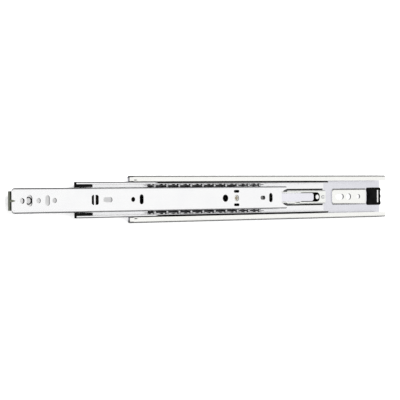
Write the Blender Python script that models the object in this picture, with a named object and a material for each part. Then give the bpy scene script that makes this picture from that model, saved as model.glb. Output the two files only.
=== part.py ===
"""A full-extension ball-bearing drawer slide, 45 mm high and 356 mm long, drawn part open.

Metres. The slide lies on the face that is screwed to the cabinet: +Z points from the cabinet to the
drawer, +X to the rear and +Y across. The origin is the middle of the cabinet member's mounting face.
Every member is modelled from its own front end, and an empty at that end sets how far it is open.
"""

import math

import bmesh
import bpy
from mathutils import Vector

# Overall size and the position the slide is drawn in
CABINET_LENGTH = 0.3556
CABINET_HALF = 0.02285
TOTAL_DEPTH = 0.0127
INTERMEDIATE_LENGTH = 0.3334
DRAWER_LENGTH = 0.3449
INTERMEDIATE_OUT = 0.0684  # front edge, ahead of the cabinet member's
DRAWER_OUT = 0.1423
OUTER_CAGE_BACK = 0.050  # front edge, behind the cabinet member's
INNER_CAGE_BACK = 0.0233
GAP = 0.0003  # between pieces that touch

# Sheet thicknesses
CABINET_SHEET = 0.0014
INTERMEDIATE_SHEET = 0.00125
DRAWER_SHEET = 0.0012
CAGE_SHEET = 0.0006
LATCH_SHEET = 0.001
SPRING_SHEET = 0.0008

# Section: half heights (Y) and depths (Z) of the rolled walls
CABINET_DEPTH = 0.0109
CABINET_LIP = 0.0173
WEB_SETBACK = 0.0012  # of the cabinet web behind the ends of its lips
INTERMEDIATE_BACK = 0.0029
INTERMEDIATE_FRONT = 0.01155
INTERMEDIATE_HALF = 0.0170
INTERMEDIATE_RACE = 0.01645
INTERMEDIATE_LIP = 0.0149
DRAWER_HALF = 0.0117
DRAWER_GROOVE = 0.0005
DRAWER_FLANGE_BACK = 0.0054

# Balls and cages
OUTER_BALL = 0.00476
OUTER_BALL_Y = 0.01895
OUTER_BALL_Z = 0.0059
OUTER_BALL_COUNT = 8
OUTER_BALL_PITCH = 0.0148
OUTER_CAGE_LENGTH = 0.1135
INNER_BALL = 0.00397
INNER_BALL_Y = 0.0134
INNER_BALL_Z = 0.0083
INNER_BALL_COUNT = 10
INNER_BALL_PITCH = 0.0155
INNER_CAGE_LENGTH = 0.1482
INNER_WEB_LENGTH = 0.1137  # the web stops short, to pass in front of the latch plate
POCKET_CLEARANCE = 0.00018

# Embossed pad and bumper at the cabinet member's rear
PAD_FRONT = 0.2797
PAD_REAR = 0.3336
PAD_RISE = 0.0012
PAD_HALF_BASE = 0.0097
PAD_HALF_TOP = 0.0071
BUMPER_FRONT = 0.3303
BUMPER_REAR = 0.3509
BUMPER_HALF = 0.0096
BUMPER_UNDER = 0.0050  # underside of its overhanging front
BUMPER_TOP = 0.0080
HOOK_X = 0.3452
HOOK_HALF = 0.0067
HOOK_TOP = 0.0082

# Screw holes
SCREW_HOLE = 0.0048
SLOT_LENGTH = 0.0096
BEND_STEPS = 4


# ---- shape helpers ----


def across(a, b, c):
    """Places an outline drawn in Y and Z, run along X."""
    return Vector((c, a, b))


def upright(a, b, c):
    """Places an outline drawn in X and Y, run along Z."""
    return Vector((a, b, c))


def sideways(a, b, c):
    """Places an outline drawn in X and Z, run along Y."""
    return Vector((a, c, b))


def bent_outline(corners, thickness, steps=BEND_STEPS):
    """The outline of a bent sheet from its centre line's corners, each (a, b, bend radius)."""
    points = [Vector(corner[:2]) for corner in corners]
    line = []
    for index, (a, b, radius) in enumerate(corners):
        here = points[index]
        into = here - points[index - 1] if index else points[1] - here
        out = points[index + 1] - here if index + 1 < len(points) else into
        start_angle = math.atan2(into.y, into.x)
        turn = math.atan2(into.x * out.y - into.y * out.x, into.dot(out))
        if abs(turn) < 1e-6 or radius == 0:
            line.append((here, Vector((-math.sin(start_angle), math.cos(start_angle)))))
            continue
        side = math.copysign(1, turn)
        start = here - into.normalized() * radius * math.tan(abs(turn) / 2)
        centre = start + side * radius * Vector((-math.sin(start_angle), math.cos(start_angle)))
        for step in range(steps + 1):
            angle = start_angle + turn * step / steps
            normal = Vector((-math.sin(angle), math.cos(angle)))
            line.append((centre - side * radius * normal, normal))
    left = [point + normal * thickness / 2 for point, normal in line]
    right = [point - normal * thickness / 2 for point, normal in line]
    return left + right[::-1]


def mirrored(half):
    """A centre line's corners on both sides of Y = 0, from those on the +Y side, web outwards."""
    return [(-a, b, radius) for a, b, radius in reversed(half)] + half


def slot_outline(x, y, along_x, along_y, steps=6):
    """A slot, or a circle where the two sizes are equal, centred on (x, y)."""
    radius = min(along_x, along_y) / 2
    reach_x = along_x / 2 - radius
    reach_y = along_y / 2 - radius
    round_hole = reach_x < 1e-6 and reach_y < 1e-6
    outline = []
    for quarter, (sign_x, sign_y) in enumerate(((1, 1), (-1, 1), (-1, -1), (1, -1))):
        last = steps // 2 if round_hole or (reach_x > 0) == (quarter % 2 == 1) else steps // 2 + 1
        for step in range(last):
            angle = math.pi / 2 * (quarter + step / (steps // 2))
            outline.append(
                (
                    x + sign_x * reach_x + radius * math.cos(angle),
                    y + sign_y * reach_y + radius * math.sin(angle),
                )
            )
    return without_doubles(outline)


def without_doubles(outline):
    kept = []
    for point in outline:
        if not kept or (Vector(point) - Vector(kept[-1])).length > 1e-6:
            kept.append(point)
    if (Vector(kept[0]) - Vector(kept[-1])).length < 1e-6:
        kept.pop()
    return kept


def box_outline(low_a, high_a, low_b, high_b):
    return [(low_a, low_b), (high_a, low_b), (high_a, high_b), (low_a, high_b)]


def add_prism(bm, outline, low, high, place, high_outline=None):
    """A closed prism, or a tapered one where the far end has an outline of its own."""
    near = [bm.verts.new(place(a, b, low)) for a, b in outline]
    far = [bm.verts.new(place(a, b, high)) for a, b in high_outline or outline]
    bm.faces.new(near)
    bm.faces.new(far[::-1])
    for index in range(len(near)):
        after = (index + 1) % len(near)
        bm.faces.new((near[index], far[index], far[after], near[after]))


def finish_mesh(name, bm):
    bmesh.ops.recalc_face_normals(bm, faces=bm.faces)
    mesh = bpy.data.meshes.new(name)
    bm.to_mesh(mesh)
    bm.free()
    mesh.shade_smooth()
    mesh.set_sharp_from_angle(angle=math.radians(35))
    return mesh


def add_object(name, mesh, material, parent, location=(0, 0, 0)):
    piece = bpy.data.objects.new(name, mesh)
    bpy.context.scene.collection.objects.link(piece)
    piece.parent = parent
    piece.location = location
    if not mesh.materials:
        mesh.materials.append(material)
    return piece


def prism_object(name, prisms, material, parent):
    """One object from prisms, each (outline, low, high, place), joined by a Boolean union."""
    bm = bmesh.new()
    add_prism(bm, *prisms[0])
    piece = add_object(name, finish_mesh(name, bm), material, parent)
    for number, prism in enumerate(prisms[1:], 1):
        change(piece, f"{name}_add_{number}", [prism], "UNION")
    return piece


def change(piece, name, prisms, operation="DIFFERENCE"):
    """Cuts prisms out of a piece, or joins them to it, with one hidden helper."""
    bm = bmesh.new()
    for prism in prisms:
        add_prism(bm, *prism)
    helper = add_object(name, finish_mesh(name, bm), piece.data.materials[0], piece.parent)
    helper.hide_render = True
    helper.display_type = "WIRE"
    boolean = piece.modifiers.new(name, "BOOLEAN")
    boolean.object = helper
    boolean.operation = operation
    boolean.solver = "EXACT"


def holes(outlines, low, high):
    return [(outline, low, high, upright) for outline in outlines]


def screw_hole(x, y=0.0):
    return slot_outline(x, y, SCREW_HOLE, SCREW_HOLE)


def cross_slot(x):
    return slot_outline(x, 0, SCREW_HOLE, SLOT_LENGTH)


def long_slot(x, length, width=SCREW_HOLE):
    return slot_outline(x, 0, length, width)


def make_material(name, colour, roughness, metallic):
    material = bpy.data.materials.new(name)
    material.use_nodes = True
    shader = material.node_tree.nodes["Principled BSDF"]
    shader.inputs["Base Color"].default_value = (*colour, 1)
    shader.inputs["Roughness"].default_value = roughness
    shader.inputs["Metallic"].default_value = metallic
    return material


def make_frame(name, front_edge):
    """An empty on the slide's centre line, at a member's front edge."""
    frame = bpy.data.objects.new(name, None)
    bpy.context.scene.collection.objects.link(frame)
    frame.location.x = front_edge - CABINET_LENGTH / 2
    return frame


# ---- cabinet member and its rear bumper ----


def make_cabinet_member(frame, material):
    half_sheet = CABINET_SHEET / 2
    section = mirrored(
        [
            (CABINET_HALF - half_sheet, half_sheet, 0.0012),
            (CABINET_HALF - half_sheet, CABINET_DEPTH - half_sheet, 0.0016),
            (CABINET_LIP, CABINET_DEPTH - half_sheet, 0),
        ]
    )
    channel = (bent_outline(section, CABINET_SHEET), 0, CABINET_LENGTH, across)
    member = prism_object("cabinet_member", [channel], material, frame)

    def pad_outline(half, inset):
        chamfer = 0.0022
        front = PAD_FRONT + inset
        rear = PAD_REAR - inset
        return [
            (front + chamfer, -half),
            (rear, -half),
            (rear, half),
            (front + chamfer, half),
            (front, half - chamfer),
            (front, chamfer - half),
        ]

    base = pad_outline(PAD_HALF_BASE, 0)
    top = pad_outline(PAD_HALF_TOP, PAD_RISE)
    raised = (base, CABINET_SHEET / 2, CABINET_SHEET + PAD_RISE, upright, top)
    change(member, "cabinet_pad", [raised], "UNION")
    under = (base, -CABINET_SHEET, PAD_RISE, upright, pad_outline(PAD_HALF_TOP - 0.0004, 0.0016))
    change(member, "cabinet_pad_hollow", [under])
    hook = (
        box_outline(HOOK_X, HOOK_X + CABINET_SHEET, -HOOK_HALF, HOOK_HALF),
        CABINET_SHEET / 2,
        HOOK_TOP,
        upright,
    )
    change(member, "cabinet_hook", [hook], "UNION")
    screw_holes = [
        long_slot(0.2918, 0.0122, 0.0056),
        slot_outline(0.3058, 0, 0.0068, 0.0068),
        screw_hole(0.3211),
        box_outline(HOOK_X + CABINET_SHEET, 0.3536, -HOOK_HALF, HOOK_HALF),
        slot_outline(0.0120, 0, 0.0064, 0.0064),
        screw_hole(0.0370),
        cross_slot(0.0470),
        long_slot(0.1010, 0.0106),
        screw_hole(0.1650),
        cross_slot(0.1750),
        screw_hole(0.2290),
        cross_slot(0.2390),
    ]
    change(member, "cabinet_holes", holes(screw_holes, -CABINET_SHEET, 2.5 * CABINET_SHEET))
    front = box_outline(-0.001, WEB_SETBACK, -0.024, 0.024)
    change(member, "cabinet_web_front", holes([front], -0.001, 0.0022))
    stops = [box_outline(0.0004, 0.0044, side * 0.01855 - 0.0004, side * 0.01855 + 0.0004) for side in (-1, 1)]
    change(member, "cabinet_stop_slots", holes(stops, 0.008, CABINET_DEPTH + 0.001))
    return member


def make_rear_bumper(frame, material):
    """A rubber block held by the hook, waisted in front and scalloped behind."""
    corner = 0.0022
    side = BUMPER_HALF - corner
    front_waist = 0.0025
    rear_dip = 0.0008
    steps = 12
    front_side = []
    rear_side = []
    for step in range(steps + 1):
        y = side * (1 - 2 * step / steps)
        front_side.append((BUMPER_FRONT + front_waist * (0.5 + 0.5 * math.cos(math.pi * y / side)), y))
        rear_side.append((BUMPER_REAR - rear_dip * (0.5 - 0.5 * math.cos(2 * math.pi * y / side)), y))
    bend = [math.pi / 2 * step / 4 for step in range(1, 4)]
    rear_corner = [
        (BUMPER_REAR - corner + corner * math.sin(a), side + corner * math.cos(a)) for a in bend
    ]
    front_corner = [
        (BUMPER_FRONT + corner - corner * math.sin(a), side + corner * math.cos(a)) for a in bend
    ]
    outline = (
        front_side[::-1]
        + front_corner[::-1]
        + [(BUMPER_FRONT + corner, BUMPER_HALF), (BUMPER_REAR - corner, BUMPER_HALF)]
        + rear_corner
        + rear_side
        + [(x, -y) for x, y in rear_corner[::-1]]
        + [(BUMPER_REAR - corner, -BUMPER_HALF), (BUMPER_FRONT + corner, -BUMPER_HALF)]
        + [(x, -y) for x, y in front_corner]
    )
    foot = box_outline(PAD_REAR + 0.0009, BUMPER_REAR - 0.001, -0.0088, 0.0088)
    bumper = prism_object(
        "rear_bumper", [(outline, BUMPER_UNDER, BUMPER_TOP, upright)], material, frame
    )
    base = (foot, CABINET_SHEET + GAP, (BUMPER_UNDER + BUMPER_TOP) / 2, upright)
    change(bumper, "bumper_foot", [base], "UNION")
    slit = box_outline(
        HOOK_X - GAP, HOOK_X + CABINET_SHEET + GAP, -HOOK_HALF - GAP, HOOK_HALF + GAP
    )
    change(bumper, "bumper_slit", holes([slit], 0, CABINET_DEPTH))
    return bumper


# ---- cages and balls ----


def make_cage(name, frame, material, across_sizes, lengths, balls):
    """A U-shaped ball cage. across_sizes is (half width, web z, edge z), lengths is (strip, web)
    and balls is (count, pitch, diameter, z)."""
    half, web_z, edge_z = across_sizes
    length, web_length = lengths
    count, pitch, diameter, ball_z = balls
    section = mirrored([(half, web_z, 0.0006), (half, edge_z, 0)])
    cage = prism_object(
        name, [(bent_outline(section, CAGE_SHEET, 2), 0, length, across)], material, frame
    )
    pockets = []
    size = diameter + 2 * POCKET_CLEARANCE
    for x in ball_places(length, count, pitch):
        pocket = [(px, pz + ball_z) for px, pz in slot_outline(x, 0, size, size, 8)]
        for side in (-1, 1):
            pockets.append((pocket, side * (half - 0.0012), side * (half + 0.0012), sideways))
    change(cage, f"{name}_pockets", pockets)
    window = 0.4 * pitch
    windows = []
    for x in ball_places(length, count - 1, pitch):
        if x + window < web_length:
            windows.append(box_outline(x - window, x + window, -0.55 * half, 0.55 * half))
    if web_length < length:
        rail = 0.0012
        windows.append(box_outline(web_length, length + 0.001, rail - half, half - rail))
    change(cage, f"{name}_windows", holes(windows, web_z - 0.001, web_z + 0.001))
    return cage


def ball_places(length, count, pitch):
    first = (length - (count - 1) * pitch) / 2
    return [first + number * pitch for number in range(count)]


def make_balls(name, frame, material, length, half, balls):
    count, pitch, diameter, ball_z = balls
    bm = bmesh.new()
    bmesh.ops.create_icosphere(bm, subdivisions=2, radius=diameter / 2)
    mesh = finish_mesh(name, bm)
    for side, side_name in ((1, "upper"), (-1, "lower")):
        for number, x in enumerate(ball_places(length, count, pitch), 1):
            place = (x, side * half, ball_z)
            add_object(f"{name}_{side_name}_{number:02}", mesh, material, frame, place)


# ---- intermediate member ----


def make_intermediate_member(frame, material):
    half_sheet = INTERMEDIATE_SHEET / 2
    race = INTERMEDIATE_RACE - half_sheet
    shoulder = INTERMEDIATE_HALF - half_sheet
    lip_z = INTERMEDIATE_FRONT - half_sheet
    section = mirrored(
        [
            (race, INTERMEDIATE_BACK + half_sheet, 0.0012),
            (race, 0.0071, 0.0015),
            (shoulder, 0.0082, 0.0012),
            (shoulder, lip_z, 0.0011),
            (INTERMEDIATE_LIP, lip_z, 0),
        ]
    )
    channel = (bent_outline(section, INTERMEDIATE_SHEET), 0, INTERMEDIATE_LENGTH, across)
    member = prism_object("intermediate_member", [channel], material, frame)
    access_holes = [
        slot_outline(0.0420, 0, 0.0180, 0.0100),
        slot_outline(0.0860, 0, 0.0180, 0.0100),
        slot_outline(0.1500, 0, 0.0100, 0.0100),
        slot_outline(0.2050, 0, 0.0180, 0.0100),
    ]
    for x in LATCH_RIVETS:
        size = RIVET_SHANK + 2 * GAP
        access_holes.append(slot_outline(x, 0, size, size, 4))
    size = DETENT_PIN + 2 * GAP
    access_holes.append(slot_outline(DETENT_X, 0, size, size, 4))
    for side in (-1, 1):
        access_holes.append([(x, side * y) for x, y in LATCH_SLOT])
    change(member, "intermediate_holes", holes(access_holes, 0.002, 0.006))
    front = box_outline(-0.001, 0.0035, -0.020, 0.020)
    change(member, "intermediate_front_notch", holes([front], 0, 0.0088))
    return member


# Latch plate, its spring tongue and its rivets, measured from the intermediate member's front
LATCH_FRONT = 0.2450
LATCH_REAR = 0.3327
LATCH_TOP = 0.0080
LATCH_HALF = 0.0066
LATCH_NECK = 0.0056  # half width of its front part
LATCH_SLOT = [
    (0.2740, 0.0058),
    (0.2790, 0.0073),
    (0.3322, 0.0073),
    (0.3322, 0.0088),
    (0.2775, 0.0088),
    (0.2740, 0.0070),
]  # in the intermediate member, along each side of the plate
WINDOW_FRONT = 0.2600
WINDOW_REAR = 0.3243
WINDOW_HALF = 0.0050
TONGUE_FRONT = 0.2480
TONGUE_REAR = 0.3160
TONGUE_HALF = 0.0042
RIVET_SHANK = 0.0024
RIVET_HEAD = 0.0038
LATCH_RIVETS = (0.2530, 0.3289)
DETENT_X = 0.3213
DETENT_PIN = 0.0032
DETENT_HEAD = 0.0050


def make_latch_plate(frame, material):
    half_sheet = LATCH_SHEET / 2
    foot_z = INTERMEDIATE_BACK + INTERMEDIATE_SHEET + GAP
    section = mirrored([(LATCH_HALF, LATCH_TOP - half_sheet, 0.0009), (LATCH_HALF, foot_z, 0)])
    outline = bent_outline(section, LATCH_SHEET, 3)
    plate = prism_object(
        "latch_plate", [(outline, LATCH_FRONT, LATCH_REAR, across)], material, frame
    )
    window = slot_outline(
        (WINDOW_FRONT + WINDOW_REAR) / 2, 0, WINDOW_REAR - WINDOW_FRONT, 2 * WINDOW_HALF, 8
    )
    leg_notch = box_outline(0.2871, 0.2944, -0.0080, -0.0053)
    corner = 0.0016
    wide = LATCH_HALF + 0.001
    cuts = holes([window], 0.0065, 0.0095)
    for side in (-1, 1):
        neck = [
            (LATCH_FRONT - 0.001, LATCH_NECK),
            (0.2745, LATCH_NECK),
            (0.2795, wide),
            (LATCH_FRONT - 0.001, wide),
        ]
        rear_corner = [
            (LATCH_REAR + 0.001, wide),
            (LATCH_REAR - corner, wide),
            (LATCH_REAR + 0.001, wide - corner - 0.001),
        ]
        for outline in (neck, rear_corner):
            cuts.append(([(x, side * y) for x, y in outline], 0.003, 0.0095, upright))
    for x in LATCH_RIVETS:
        size = RIVET_SHANK + 2 * GAP
        cuts.append((slot_outline(x, 0, size, size, 4), 0.0065, 0.0095, upright))
    change(plate, "latch_cuts", cuts)
    change(plate, "latch_leg_notch", holes([leg_notch], 0.0058, 0.0098))
    return plate


def make_latch_spring(frame, material):
    top = LATCH_TOP - LATCH_SHEET - GAP
    chamfer = 0.0018
    outline = [
        (TONGUE_FRONT, -TONGUE_HALF),
        (TONGUE_REAR - chamfer, -TONGUE_HALF),
        (TONGUE_REAR, chamfer - TONGUE_HALF),
        (TONGUE_REAR, TONGUE_HALF - chamfer),
        (TONGUE_REAR - chamfer, TONGUE_HALF),
        (TONGUE_FRONT, TONGUE_HALF),
    ]
    spring = prism_object(
        "latch_spring", [(outline, top - SPRING_SHEET, top, upright)], material, frame
    )
    size = RIVET_SHANK + 2 * GAP
    rivet_hole = slot_outline(LATCH_RIVETS[0], 0, size, size, 4)
    change(spring, "latch_spring_hole", holes([rivet_hole], 0.005, 0.008))
    return spring


def make_turned(name, frame, material, x, profile, steps=12):
    """A turned pin standing along Z. profile is (radius, z) pairs from the top down."""
    bm = bmesh.new()
    rings = []
    for radius, z in profile:
        ring = []
        for step in range(steps):
            angle = 2 * math.pi * step / steps
            ring.append(bm.verts.new((radius * math.cos(angle), radius * math.sin(angle), z)))
        rings.append(ring)
    bm.faces.new(rings[0])
    bm.faces.new(rings[-1][::-1])
    for upper, lower in zip(rings, rings[1:]):
        for step in range(steps):
            after = (step + 1) % steps
            bm.faces.new((upper[step], lower[step], lower[after], upper[after]))
    return add_object(name, finish_mesh(name, bm), material, frame, (x, 0, 0))


def make_latch_pins(frame, material):
    shank = RIVET_SHANK / 2
    head = RIVET_HEAD / 2
    seat = LATCH_TOP + GAP
    foot = INTERMEDIATE_BACK + 0.0001
    for name, x in zip(("latch_rivet_front", "latch_rivet_rear"), LATCH_RIVETS):
        profile = [
            (head * 0.55, seat + 0.0008),
            (head, seat + 0.0004),
            (head, seat),
            (shank, seat),
            (shank, foot),
        ]
        make_turned(name, frame, material, x, profile, 8)
    pin = DETENT_PIN / 2
    head = DETENT_HEAD / 2
    pin_profile = [(head - 0.0002, 0.0072), (head, 0.0070), (head, 0.0064), (pin, 0.0064), (pin, foot)]
    make_turned("detent_pin", frame, material, DETENT_X, pin_profile, 8)


def make_front_bumpers(frame, material):
    """Black stops in the open ends of the intermediate member's two rails."""
    inner = DRAWER_HALF + GAP
    wall = INTERMEDIATE_RACE - INTERMEDIATE_SHEET - GAP
    under_lip = INTERMEDIATE_FRONT - INTERMEDIATE_SHEET - GAP
    beside_lip = INTERMEDIATE_LIP - GAP
    floor = INTERMEDIATE_BACK + INTERMEDIATE_SHEET + 0.0012
    plug = [
        (inner, floor),
        (wall, floor),
        (wall, under_lip),
        (beside_lip, under_lip),
        (beside_lip, 0.0114),
        (inner, 0.0114),
    ]
    flange = [
        (inner, 0.0095),
        (INTERMEDIATE_HALF, 0.0095),
        (INTERMEDIATE_HALF, 0.0105),
        (INTERMEDIATE_HALF - 0.0010, 0.0115),
        (inner, 0.0115),
    ]
    under_plug = box_outline(-0.001, 0.0038, -0.020, 0.020)
    for name, side in (("front_bumper_upper", 1), ("front_bumper_lower", -1)):
        plug_side = [(side * y, z) for y, z in plug]
        flange_side = [(side * y, z) for y, z in flange]
        bumper = prism_object(
            name,
            [(flange_side, -0.0014, -GAP, across), (plug_side, -0.0009, 0.0188, across)],
            material,
            frame,
        )
        change(bumper, f"{name}_notch", holes([under_plug], 0.003, 0.0093))


# ---- drawer member ----

DISCONNECT_FRONT = 0.2665
DISCONNECT_REAR = 0.3150
DISCONNECT_HALF = 0.0036
DISCONNECT_RIVET = 0.2740
DRAWER_RIVET_HEAD = 0.0058


def make_drawer_member(frame, material):
    half_sheet = DRAWER_SHEET / 2
    face_z = TOTAL_DEPTH - half_sheet
    wall = DRAWER_HALF - half_sheet
    section = mirrored(
        [
            (wall, face_z, 0.0018),
            (wall, 0.0100, 0.0008),
            (wall - DRAWER_GROOVE, 0.0090, 0.001),
            (wall - DRAWER_GROOVE, 0.0076, 0.001),
            (wall, 0.0064, 0.001),
            (wall, DRAWER_FLANGE_BACK, 0),
        ]
    )
    start = 0.0014
    channel = (bent_outline(section, DRAWER_SHEET), start, DRAWER_LENGTH, across)
    member = prism_object("drawer_member", [channel], material, frame)
    tab_half = 0.0089
    relief = 0.0002
    bend = 0.0023
    flat = bend + half_sheet + 0.0004
    space = box_outline(0, flat, -tab_half - relief, tab_half + relief)
    change(member, "drawer_tab_space", holes([space], 0.0108, TOTAL_DEPTH + 0.001))
    tab = bent_outline(
        [(half_sheet, 0.0076, 0), (half_sheet, face_z, bend), (flat + 0.001, face_z, 0)],
        DRAWER_SHEET,
    )
    change(member, "drawer_tab", [(tab, -tab_half, tab_half, sideways)], "UNION")

    cuts = holes(drawer_openings(), 0.0108, TOTAL_DEPTH + 0.001)
    notch_edge = 0.3370
    notch = [
        (notch_edge, -0.0061),
        (DRAWER_LENGTH + 0.001, -0.0092),
        (DRAWER_LENGTH + 0.001, 0.0092),
        (notch_edge, 0.0061),
    ]
    cuts.append((notch, 0.0108, TOTAL_DEPTH + 0.001, upright))
    for side in (-1, 1):
        corner = [(0.0004, 0.0094), (0.0042, 0.0120), (0.0042, 0.0130), (0.0004, 0.0130)]
        cuts.append(([(x, side * y) for x, y in corner], 0.004, TOTAL_DEPTH + 0.001, upright))
    change(member, "drawer_cuts", cuts)
    leg = [(-0.001, 0.004), (0.0085, 0.004), (0.0085, 0.0085), (0.0050, 0.0112), (-0.001, 0.0112)]
    legs = [(leg, side * 0.0093, side * 0.0125, sideways) for side in (-1, 1)]
    change(member, "drawer_leg_ends", legs)
    return member


# The two halves of the opening left and right of a bridge across the drawer face
BRIDGE_SLOT_FRONT = [
    (0.0933, -0.0047),
    (0.0933, 0.0047),
    (0.0919, 0.0047),
    (0.0906, 0.0034),
    (0.0906, -0.0034),
    (0.0919, -0.0047),
]
BRIDGE_SLOT_REAR = [
    (0.0951, -0.0047),
    (0.0975, -0.0047),
    (0.0988, -0.0034),
    (0.0988, 0.0034),
    (0.0975, 0.0047),
    (0.0951, 0.0047),
]


def drawer_openings():
    """The holes in the drawer face, front to rear."""
    head = DRAWER_RIVET_HEAD + 2 * GAP
    return [
        slot_outline(0.0120, 0, 0.0052, 0.0052),
        slot_outline(0.0200, 0, 0.0062, 0.0104),
        screw_hole(0.0300),
        cross_slot(0.0400),
        screw_hole(0.0480),
        BRIDGE_SLOT_FRONT,
        BRIDGE_SLOT_REAR,
        long_slot(0.1097, 0.0108),
        screw_hole(0.1402),
        cross_slot(0.1506),
        slot_outline(0.2588, 0, 0.0074, 0.0074),
        slot_outline(DISCONNECT_RIVET, 0.0068, 0.0074, 0.0028),
        slot_outline(DISCONNECT_RIVET, -0.0068, 0.0074, 0.0028),
        slot_outline(DISCONNECT_RIVET, 0, head, head),
        slot_outline(0.3105, 0, 0.0068, 0.0042),
        cross_slot(0.3217),
    ]


def make_disconnect_spring(frame, material):
    top = TOTAL_DEPTH - DRAWER_SHEET - GAP
    path = [
        (DISCONNECT_FRONT, top - SPRING_SHEET / 2, 0),
        (0.2915, top - SPRING_SHEET / 2, 0.003),
        (0.2975, 0.0092, 0.003),
        (0.3055, 0.0092, 0.0015),
        (0.3090, top - SPRING_SHEET / 2, 0.0012),
        (0.3120, top - SPRING_SHEET / 2, 0.0012),
        (DISCONNECT_REAR, 0.0092, 0),
    ]
    outline = bent_outline(path, SPRING_SHEET, 3)
    spring = prism_object(
        "disconnect_spring", [(outline, -DISCONNECT_HALF, DISCONNECT_HALF, sideways)], material, frame
    )
    size = RIVET_SHANK + 2 * GAP
    rivet_hole = slot_outline(DISCONNECT_RIVET, 0, size, size)
    change(spring, "disconnect_hole", holes([rivet_hole], 0.009, 0.0115))
    return spring


def make_disconnect_rivet(frame, material):
    head = DRAWER_RIVET_HEAD / 2
    shank = RIVET_SHANK / 2
    spring_top = TOTAL_DEPTH - DRAWER_SHEET - GAP
    tail = spring_top - SPRING_SHEET - GAP
    profile = [
        (head * 0.45, TOTAL_DEPTH - 0.0005),
        (head * 0.62, TOTAL_DEPTH),
        (head, TOTAL_DEPTH - 0.0003),
        (head, spring_top + GAP),
        (shank, spring_top + GAP),
        (shank, tail),
        (head * 0.8, tail),
        (head * 0.7, tail - 0.0006),
    ]
    return make_turned("disconnect_rivet", frame, material, DISCONNECT_RIVET, profile)


# ---- assembly ----


def build():
    for old in list(bpy.data.objects):
        bpy.data.objects.remove(old)

    zinc = make_material("zinc_plated_steel", (0.82, 0.82, 0.84), 0.28, 1)
    cabinet_zinc = make_material("cabinet_zinc", (0.76, 0.76, 0.80), 0.30, 1)
    intermediate_zinc = make_material("intermediate_zinc", (0.80, 0.80, 0.82), 0.28, 1)
    cage_steel = make_material("cage_steel", (0.22, 0.22, 0.23), 0.45, 1)
    ball_steel = make_material("ball_steel", (0.85, 0.85, 0.86), 0.08, 1)
    spring_steel = make_material("spring_steel", (0.70, 0.70, 0.76), 0.30, 1)
    rivet_steel = make_material("rivet_steel", (0.55, 0.48, 0.42), 0.35, 1)
    black_plastic = make_material("black_plastic", (0.02, 0.02, 0.02), 0.45, 0)
    black_rubber = make_material("black_rubber", (0.03, 0.03, 0.03), 0.70, 0)

    cabinet = make_frame("cabinet_frame", 0)
    outer = make_frame("outer_cage_frame", OUTER_CAGE_BACK)
    intermediate = make_frame("intermediate_frame", -INTERMEDIATE_OUT)
    inner = make_frame("inner_cage_frame", INNER_CAGE_BACK)
    drawer = make_frame("drawer_frame", -DRAWER_OUT)

    make_cabinet_member(cabinet, cabinet_zinc)
    make_rear_bumper(cabinet, black_rubber)

    outer_balls = (OUTER_BALL_COUNT, OUTER_BALL_PITCH, OUTER_BALL, OUTER_BALL_Z)
    outer_sizes = (OUTER_BALL_Y, CABINET_SHEET + GAP + CAGE_SHEET / 2, 0.0090)
    outer_lengths = (OUTER_CAGE_LENGTH, OUTER_CAGE_LENGTH)
    make_cage("outer_cage", outer, cage_steel, outer_sizes, outer_lengths, outer_balls)
    make_balls("outer_ball", outer, ball_steel, OUTER_CAGE_LENGTH, OUTER_BALL_Y, outer_balls)

    make_intermediate_member(intermediate, intermediate_zinc)
    make_front_bumpers(intermediate, black_plastic)
    make_latch_plate(intermediate, zinc)
    make_latch_spring(intermediate, spring_steel)
    make_latch_pins(intermediate, rivet_steel)

    inner_balls = (INNER_BALL_COUNT, INNER_BALL_PITCH, INNER_BALL, INNER_BALL_Z)
    inner_web = INTERMEDIATE_BACK + INTERMEDIATE_SHEET + GAP + CAGE_SHEET / 2
    inner_sizes = (INNER_BALL_Y, inner_web, 0.0106)
    inner_lengths = (INNER_CAGE_LENGTH, INNER_WEB_LENGTH)
    make_cage("inner_cage", inner, cage_steel, inner_sizes, inner_lengths, inner_balls)
    make_balls("inner_ball", inner, ball_steel, INNER_CAGE_LENGTH, INNER_BALL_Y, inner_balls)

    make_drawer_member(drawer, zinc)
    make_disconnect_spring(drawer, spring_steel)
    make_disconnect_rivet(drawer, rivet_steel)


build()
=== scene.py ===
"""Looks for the ball-bearing drawer slide.

Finer members, cages, balls, bumpers and latch, lit as on a white table."""

import math

import bmesh
import bpy
from mathutils import Matrix, Vector


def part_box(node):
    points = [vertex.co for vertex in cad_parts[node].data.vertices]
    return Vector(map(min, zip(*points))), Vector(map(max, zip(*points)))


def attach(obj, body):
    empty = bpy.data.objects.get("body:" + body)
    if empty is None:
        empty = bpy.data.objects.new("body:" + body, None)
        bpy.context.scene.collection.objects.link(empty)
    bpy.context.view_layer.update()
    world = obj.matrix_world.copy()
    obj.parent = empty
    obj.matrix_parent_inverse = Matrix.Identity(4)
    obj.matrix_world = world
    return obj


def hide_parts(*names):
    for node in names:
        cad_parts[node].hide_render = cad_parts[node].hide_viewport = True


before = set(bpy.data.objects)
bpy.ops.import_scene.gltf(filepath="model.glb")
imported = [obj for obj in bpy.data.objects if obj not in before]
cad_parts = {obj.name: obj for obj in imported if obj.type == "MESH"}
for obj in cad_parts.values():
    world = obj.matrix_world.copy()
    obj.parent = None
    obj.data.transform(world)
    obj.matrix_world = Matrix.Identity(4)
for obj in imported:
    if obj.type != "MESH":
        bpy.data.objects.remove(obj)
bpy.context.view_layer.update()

# ---- places read from the frame, and sizes, in metres ----

CABINET_LOW, CABINET_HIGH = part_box("cabinet_member")
INTERMEDIATE_LOW, INTERMEDIATE_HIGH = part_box("intermediate_member")
DRAWER_LOW, DRAWER_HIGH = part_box("drawer_member")
BUMPER_LOW, BUMPER_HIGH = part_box("rear_bumper")
LATCH_LOW, LATCH_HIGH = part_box("latch_plate")

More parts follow.
